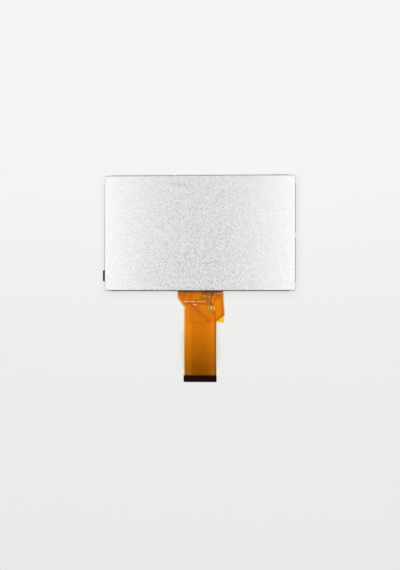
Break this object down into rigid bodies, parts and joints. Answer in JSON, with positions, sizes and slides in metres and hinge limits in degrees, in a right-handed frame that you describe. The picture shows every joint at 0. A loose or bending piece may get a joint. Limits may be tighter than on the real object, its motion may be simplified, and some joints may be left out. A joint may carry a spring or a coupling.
{
  "type": "tft display module",
  "caption": "Slim rectangular flat-panel display module with a folded steel back over a white moulded frame, an edge-lit stack and an amber flex circuit that ends in a stiffened connector tail.",
  "frame": {"origin": "middle of the module's width and height, on the outer face of the screen's protective film", "axes": "+X along the long side, +Y away from the flex circuit, +Z out of the steel rear shield"},
  "size_m": [0.1673, 0.1788, 0.0057],
  "materials": {
    "shield_steel": "mottled zinc-coated sheet, satin",
    "frame_white": "white moulded polycarbonate, satin",
    "reflector_white": "white reflective film",
    "clear_acrylic": "clear moulded acrylic, polished",
    "diffuser_white": "milky diffusing film",
    "prism_film": "clear film with fine prisms",
    "lead_polyimide": "brown-amber polyimide film",
    "black_tape": "black tape",
    "polarizer": "grey polarizing film",
    "array_glass": "thin float glass with metal lines",
    "seal": "cured sealant",
    "filter_glass": "thin float glass with a black matrix",
    "front_polarizer": "dark polarizing film, glossy",
    "clear_film": "clear protective film",
    "green_tab": "dark green film",
    "silicon": "bare polished silicon",
    "polyimide": "amber polyimide film, glossy",
    "covered_copper": "copper lines under amber cover film",
    "gold": "gold-plated copper",
    "stiffener": "dark brown polyimide stiffener",
    "yellow_tape": "translucent yellow polyimide tape",
    "capacitor_ceramic": "tan ceramic with tinned ends",
    "resistor_ceramic": "black glaze with tinned ends",
    "solder": "bright tin solder",
    "led_housing": "white housing with yellow phosphor"
  },
  "bodies": {
    "root": {"rear_shield": "shield_steel", "mold_frame": "frame_white", "reflector_sheet": "reflector_white", "light_guide": "clear_acrylic", "lower_diffuser": "diffuser_white", "lower_prism_sheet": "prism_film", "upper_prism_sheet": "prism_film", "upper_diffuser": "diffuser_white", "led_strip": "lead_polyimide", "panel_tape": "black_tape", "rear_polarizer": "polarizer", "array_glass": "array_glass", "cell_seal": "seal", "color_filter_glass": "filter_glass", "front_polarizer": "front_polarizer", "protective_film": "clear_film", "film_pull_tab": "green_tab", "source_driver_1": "silicon", "source_driver_2": "silicon", "gate_driver": "silicon", "driver_cover_tape": "black_tape", "flex_circuit": "polyimide", "flex_conductors": "covered_copper", "contact_fingers": "gold", "contact_stiffener": "stiffener", "component_tape": "yellow_tape", "chip_capacitors": "capacitor_ceramic", "chip_resistors": "resistor_ceramic", "solder_joints": "solder", "led_1": "led_housing", "led_2": "led_housing", "led_3": "led_housing", "led_4": "led_housing", "led_5": "led_housing", "led_6": "led_housing", "led_7": "led_housing", "led_8": "led_housing", "led_9": "led_housing", "led_10": "led_housing", "led_11": "led_housing", "led_12": "led_housing", "led_13": "led_housing", "led_14": "led_housing", "led_15": "led_housing", "led_16": "led_housing", "led_17": "led_housing", "led_18": "led_housing", "led_19": "led_housing", "led_20": "led_housing", "led_21": "led_housing", "led_22": "led_housing", "led_23": "led_housing", "led_24": "led_housing", "led_25": "led_housing", "led_26": "led_housing", "led_27": "led_housing"}
  },
  "joints": []
}
